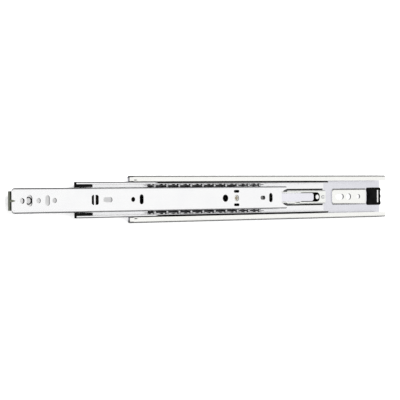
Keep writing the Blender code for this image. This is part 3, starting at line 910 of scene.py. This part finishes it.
def make_latch_plate():
    half_sheet = LATCH_SHEET / 2
    front = LATCH_LOW.x - INTERMEDIATE_X
    rear = LATCH_HIGH.x - INTERMEDIATE_X
    below_plate = 0.0065
    above_plate = 0.0095
    section = mirrored([(LATCH_HALF, LATCH_HIGH.z - half_sheet, 0.0009), (LATCH_HALF, LATCH_LOW.z, 0)])
    outline = bent_outline(section, LATCH_SHEET, 6)
    part = Part("latch_plate_stamping", INTERMEDIATE_X, (outline, front, rear, across))
    window = slot_outline(
        (WINDOW_FRONT + WINDOW_REAR) / 2, 0, WINDOW_REAR - WINDOW_FRONT, 2 * WINDOW_HALF, 24
    )
    corner = 0.0016
    wide = LATCH_HALF + OVERRUN
    cuts = holes([window], below_plate, above_plate)
    for side in (-1, 1):
        neck = [
            (front - OVERRUN, LATCH_NECK),
            (0.2745, LATCH_NECK),
            (0.2795, wide),
            (front - OVERRUN, wide),
        ]
        rear_corner = [
            (rear + OVERRUN, wide),
            (rear - corner, wide),
            (rear + OVERRUN, wide - corner - OVERRUN),
        ]
        for outline in (neck, rear_corner):
            cuts.append(([(x, side * y) for x, y in outline], 0.003, above_plate, upright))
    cuts += holes([round_hole(x, RIVET_SHANK + 2 * GAP) for x in LATCH_RIVETS], below_plate, above_plate)
    part.cut(cuts)
    part.cut(holes([box_outline(*LATCH_LEG_NOTCH, -0.0080, -0.0053)], 0.0045, 0.0098))
    part.done(LATCH_ZINC, "intermediate", "latch_plate", edge=0.0001)


def make_latch_spring():
    low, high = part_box("latch_spring")
    chamfer = 0.0018
    outline = [
        (low.x, -TONGUE_HALF),
        (high.x - chamfer, -TONGUE_HALF),
        (high.x, chamfer - TONGUE_HALF),
        (high.x, TONGUE_HALF - chamfer),
        (high.x - chamfer, TONGUE_HALF),
        (low.x, TONGUE_HALF),
    ]
    part = Part("latch_spring_strip", 0, (outline, low.z, high.z, upright))
    hole = round_hole(INTERMEDIATE_X + LATCH_RIVETS[0], RIVET_SHANK + 2 * GAP)
    part.cut(holes([hole], 0.005, 0.008))
    part.done(SPRING_STEEL, "intermediate", "latch_spring", edge=0.00008)


def make_latch_pins():
    shank = RIVET_SHANK / 2
    head = RIVET_HEAD / 2
    seat = LATCH_HIGH.z + GAP
    foot = INTERMEDIATE_LOW.z + 0.0001
    dome = [
        (head * math.cos(angle), seat + 0.0002 + 0.0006 * math.sin(angle))
        for angle in (1.45, 1.2, 0.9, 0.6, 0.3, 0.0)
    ]
    eyelet = [
        (head * 0.50, seat - 0.0012),
        (head * 0.56, seat + 0.0002),
        (head * 0.72, seat + 0.0006),
        (head * 0.92, seat + 0.0006),
        (head * 1.05, seat + 0.0003),
        (head * 1.05, seat),
    ]
    pins = (("latch_rivet_front", dome, BLACKENED_STEEL), ("latch_rivet_rear", eyelet, PIN_STEEL))
    for (name, top_profile, finish), x in zip(pins, LATCH_RIVETS):
        profile = top_profile + [(head, seat), (shank, seat), (shank, foot)]
        turned(f"{name}_head", INTERMEDIATE_X + x, profile, finish, "intermediate", name)
    pin = DETENT_PIN / 2
    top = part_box("detent_pin")[1].z
    head = DETENT_HEAD / 2
    under_head = top - 0.0008
    profile = [
        (head - 0.0004, top),
        (head - 0.0001, top - 0.00015),
        (head, top - 0.0003),
        (head, under_head),
        (pin, under_head),
        (pin, foot),
    ]
    x = INTERMEDIATE_X + DETENT_X
    turned("detent_pin_turned", x, profile, PIN_STEEL, "intermediate", "detent_pin")


def make_front_bumpers():
    inner = DRAWER_HIGH.y + GAP
    wall = INTERMEDIATE_RACE - INTERMEDIATE_SHEET - GAP
    under_lip = INTERMEDIATE_HIGH.z - INTERMEDIATE_SHEET - GAP
    beside_lip = INTERMEDIATE_LIP - GAP
    floor = INTERMEDIATE_LOW.z + INTERMEDIATE_SHEET + 0.0012
    outer = INTERMEDIATE_HIGH.y
    top = 0.0114
    plug = [
        (inner, floor),
        (wall, floor),
        (wall, under_lip),
        (beside_lip, under_lip),
        (beside_lip, top),
        (inner, top),
    ]
    flange = rounded_box(inner, outer, 0.0095, 0.0115, 0.0006)
    for name, side in (("upper", 1), ("lower", -1)):
        plug_side = [(side * y, z) for y, z in plug]
        flange_side = [(side * y, z) for y, z in flange]
        flange_prism = (flange_side, -0.0014, -GAP, across)
        part = Part(f"front_bumper_{name}_moulding", INTERMEDIATE_X, flange_prism)
        part.join((plug_side, -0.0009, 0.0188, across))
        part.cut(holes([box_outline(-OVERRUN, 0.0038, -0.020, 0.020)], 0.003, 0.0093))
        part.done(BLACK_PLASTIC, "intermediate", f"front_bumper_{name}", edge=0.0003)


# ---- drawer member and its spring ----

DISCONNECT_RIVET = 0.2740
DRAWER_RIVET_HEAD = 0.0058
NOTCH_EDGE = 0.3370
FIRST_HOLE = 0.0120
SECOND_SLOT = 0.0200
TAB_HALF = 0.0089

BRIDGE_SLOT_FRONT = [
    (0.0933, -0.0047),
    (0.0933, 0.0047),
    (0.0919, 0.0047),
    (0.0906, 0.0034),
    (0.0906, -0.0034),
    (0.0919, -0.0047),
]
BRIDGE_SLOT_REAR = [
    (0.0951, -0.0047),
    (0.0975, -0.0047),
    (0.0988, -0.0034),
    (0.0988, 0.0034),
    (0.0975, 0.0047),
    (0.0951, 0.0047),
]


def drawer_openings():
    head = DRAWER_RIVET_HEAD + 2 * GAP
    return [
        screw_hole(0.0300),
        cross_slot(0.0400),
        screw_hole(0.0480),
        BRIDGE_SLOT_FRONT,
        BRIDGE_SLOT_REAR,
        long_slot(0.1097, 0.0108),
        screw_hole(0.1402),
        cross_slot(0.1506),
        round_hole(0.2588, 0.0074),
        slot_outline(DISCONNECT_RIVET, 0.0068, 0.0074, 0.0028),
        slot_outline(DISCONNECT_RIVET, -0.0068, 0.0074, 0.0028),
        round_hole(DISCONNECT_RIVET, head),
        long_slot(0.3105, 0.0068, 0.0042),
        cross_slot(0.3217),
    ]


def make_drawer_member():
    half_sheet = DRAWER_SHEET / 2
    top = DRAWER_HIGH.z
    half = DRAWER_HIGH.y
    length = DRAWER_HIGH.x - DRAWER_LOW.x
    face_z = top - half_sheet
    wall = half - half_sheet
    section = mirrored(
        [
            (wall, face_z, 0.0018),
            (wall, 0.0100, 0.0008),
            (wall - DRAWER_GROOVE, 0.0090, 0.001),
            (wall - DRAWER_GROOVE, 0.0076, 0.001),
            (wall, 0.0064, 0.001),
            (wall, DRAWER_LOW.z, 0),
        ]
    )
    start = 0.0014
    outline = bent_outline(section, DRAWER_SHEET)
    part = Part("drawer_channel", DRAWER_X, (outline, start, length, across))
    under_face = 0.0108
    over_face = top + OVERRUN
    relief = 0.0002
    bend = 0.0023
    flat = bend + half_sheet + 0.0004
    space = box_outline(0, flat, -TAB_HALF - relief, TAB_HALF + relief)
    part.cut(holes([space], under_face, over_face))
    tab = bent_outline(
        [(half_sheet, 0.0076, 0), (half_sheet, face_z, bend), (flat + 0.001, face_z, 0)], DRAWER_SHEET
    )
    part.join((tab, -TAB_HALF, TAB_HALF, sideways))
    notch = [
        (NOTCH_EDGE, -0.0061),
        (length + OVERRUN, -0.0092),
        (length + OVERRUN, 0.0092),
        (NOTCH_EDGE, 0.0061),
    ]
    cuts = holes(drawer_openings() + [notch], under_face, over_face)
    for side in (-1, 1):
        corner = [(0.0004, 0.0094), (0.0042, 0.0120), (0.0042, 0.0130), (0.0004, 0.0130)]
        cuts.append(([(x, side * y) for x, y in corner], 0.004, over_face, upright))
    part.cut(cuts)
    leg = [(-0.001, 0.004), (0.0085, 0.004), (0.0085, 0.0085), (0.0050, 0.0112), (-0.001, 0.0112)]
    part.cut([(leg, side * 0.0093, side * 0.0125, sideways) for side in (-1, 1)])
    under_collar = 0.009
    for x, inner, outer in ((FIRST_HOLE, 0.0026, 0.0034), (SECOND_SLOT, 0.0027, 0.0036)):
        part.join((slot_outline(x, 0, 2 * outer, 2 * outer, 20), 0.0104, top - 0.0010, upright))
        part.cut(holes([slot_outline(x, 0, 2 * inner, 2 * inner, 20)], under_collar, top - 0.0008))
    second = long_slot(SECOND_SLOT, 0.0062, 0.0104)
    part.cut(holes([second], top - DRAWER_SHEET - 0.0002, over_face))
    part.cut(holes([round_hole(FIRST_HOLE, 0.0052)], under_collar, over_face))
    part.done(DRAWER_ZINC, "drawer", "drawer_member")


def make_drawer_tab_front():
    """A thin olive skin over the front tab, dark as painted shade on its front face, with the dart pressed
    into its bend.
    """
    top = DRAWER_HIGH.z
    dart = [
        (-0.00005, 0.0100),
        (-0.00005, 0.0114),
        (0.0016, top + 0.00005),
        (0.0044, top + 0.00005),
        (0.0044, top - 0.0003),
        (0.0016, top - 0.0006),
    ]
    plate = box_outline(-0.00005, 0.0003, -TAB_HALF, TAB_HALF)
    part = Part("drawer_tab_front", DRAWER_X, (plate, 0.0076, 0.0108, upright))
    part.join((dart, -0.0011, 0.0011, sideways))
    taper = [(0.0010, 0.0012), (0.0050, 0.0001), (0.0050, 0.0020), (0.0010, 0.0020)]
    sides = [[(x, side * y) for x, y in taper] for side in (-1, 1)]
    part.cut(holes(sides, top - 0.0020, top + OVERRUN))
    part.done(TAB_OLIVE_SHADE, "drawer", "drawer_member", edge=0)


def make_disconnect_spring():
    """The flat spring behind the drawer's face, bent clear of it twice, and its rivet."""
    low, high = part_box("disconnect_spring")
    top = DRAWER_HIGH.z - DRAWER_SHEET - GAP
    dip = 0.0092
    middle = top - SPRING_SHEET / 2
    path = [
        (0.2665, middle, 0),
        (0.2915, middle, 0.003),
        (0.2975, dip, 0.003),
        (0.3055, dip, 0.0015),
        (0.3090, middle, 0.0012),
        (0.3120, middle, 0.0012),
        (0.3150, dip, 0),
    ]
    outline = bent_outline(path, SPRING_SHEET, 6)
    part = Part("disconnect_spring_strip", DRAWER_X, (outline, low.y, high.y, sideways))
    part.cut(holes([round_hole(DISCONNECT_RIVET, RIVET_SHANK + 2 * GAP)], 0.009, 0.0115))
    part.done(DISCONNECT_STEEL, "drawer", "disconnect_spring", edge=0.00008)
    head = DRAWER_RIVET_HEAD / 2
    shank = RIVET_SHANK / 2
    tail = top - SPRING_SHEET - GAP
    face = DRAWER_HIGH.z
    profile = [
        (head * 0.50, face - 0.0007),
        (head * 0.60, face - 0.00035),
        (head * 0.70, face),
        (head * 0.85, face - 0.00008),
        (head, face - 0.0003),
        (head, top + GAP),
        (shank, top + GAP),
        (shank, tail),
        (head * 0.8, tail),
        (head * 0.7, tail - 0.0006),
    ]
    x = DRAWER_X + DISCONNECT_RIVET
    turned("disconnect_rivet_turned", x, profile, RIVET_STEEL, "drawer", "disconnect_rivet")


# ---- table, light and camera ----


def make_stage():
    """A lit white table. It lights the slide but isn't mirrored in it."""
    bm = bmesh.new()
    bmesh.ops.create_grid(bm, x_segments=2, y_segments=2, size=6.0)
    floor = add_object("floor", mesh_from("floor", bm))
    nodes = Nodes("white_table")
    clouds = nodes.noise(nodes.coordinates, 3, 2)
    tint = nodes.ramp(clouds, ((0.3, (0.86, 0.86, 0.86)), (0.7, (0.88, 0.88, 0.88))))
    nodes.link(tint, nodes.shader.inputs["Base Color"])
    nodes.shader.inputs["Roughness"].default_value = 0.9
    nodes.shader.inputs["Emission Color"].default_value = (1, 1, 1, 1)
    nodes.shader.inputs["Emission Strength"].default_value = 0.56
    floor.data.materials.append(nodes.material)
    floor.location.z = -0.0001
    floor.visible_glossy = False


def make_light():
    """A studio that is white above and grey at the horizon, and one softbox."""
    world = bpy.data.worlds.new("studio")
    bpy.context.scene.world = world
    world.use_nodes = True
    tree = world.node_tree
    background = tree.nodes["Background"]
    coordinates = tree.nodes.new("ShaderNodeTexCoord")
    split = tree.nodes.new("ShaderNodeSeparateXYZ")
    ramp = tree.nodes.new("ShaderNodeValToRGB")
    tree.links.new(coordinates.outputs["Generated"], split.inputs[0])
    tree.links.new(split.outputs["Z"], ramp.inputs["Fac"])
    tree.links.new(ramp.outputs["Color"], background.inputs["Color"])
    elements = ramp.color_ramp.elements
    elements[0].position = 0.28
    elements[0].color = (0.13, 0.13, 0.135, 1)
    elements[1].position = 0.56
    elements[1].color = (1, 1, 1, 1)
    background.inputs["Strength"].default_value = 1.0

    lamp = bpy.data.lights.new("key_softbox", "AREA")
    lamp.shape = "RECTANGLE"
    lamp.size = 0.9
    lamp.size_y = 0.35
    lamp.energy = 9
    key = bpy.data.objects.new("key_softbox", lamp)
    bpy.context.scene.collection.objects.link(key)
    key.location = (-0.2, 0.55, 1.0)
    key.rotation_euler = (-key.location).to_track_quat("-Z", "Y").to_euler()
    key.visible_glossy = False


def make_camera():
    """A long lens, turned from the slide's face towards its front end."""
    camera = bpy.data.objects.new("camera", bpy.data.cameras.new("camera"))
    bpy.context.scene.collection.objects.link(camera)
    camera.data.sensor_width = 36
    camera.data.lens = 142.9
    back = Vector((-0.65408, 0.0059, 0.75640))
    right = Vector((0.75635, -0.00903, 0.65411))
    up = Vector((0.01069, 0.99994, 0.00144))
    place = Vector((-0.9491 + CABINET_X, 0.00784, 1.2057))
    camera.matrix_world = Matrix.Translation(place) @ Matrix((right, up, back)).transposed().to_4x4()
    camera.data.clip_end = 20
    bpy.context.scene.camera = camera


def main():
    make_cabinet_member()
    make_rear_bumper()
    make_cage("outer_cage", "outer_cage", OUTER_WEB_LENGTH, "outer")
    make_balls("outer", "outer_cage")
    make_intermediate_member()
    make_front_bumpers()
    make_latch_plate()
    make_latch_spring()
    make_latch_pins()
    make_cage("inner_cage", "inner_cage", INNER_WEB_LENGTH, "inner")
    make_balls("inner", "inner_cage")
    make_drawer_member()
    make_drawer_tab_front()
    make_disconnect_spring()
    make_stage()
    make_light()
    make_camera()
    bpy.context.scene.view_settings.view_transform = "Standard"


main()
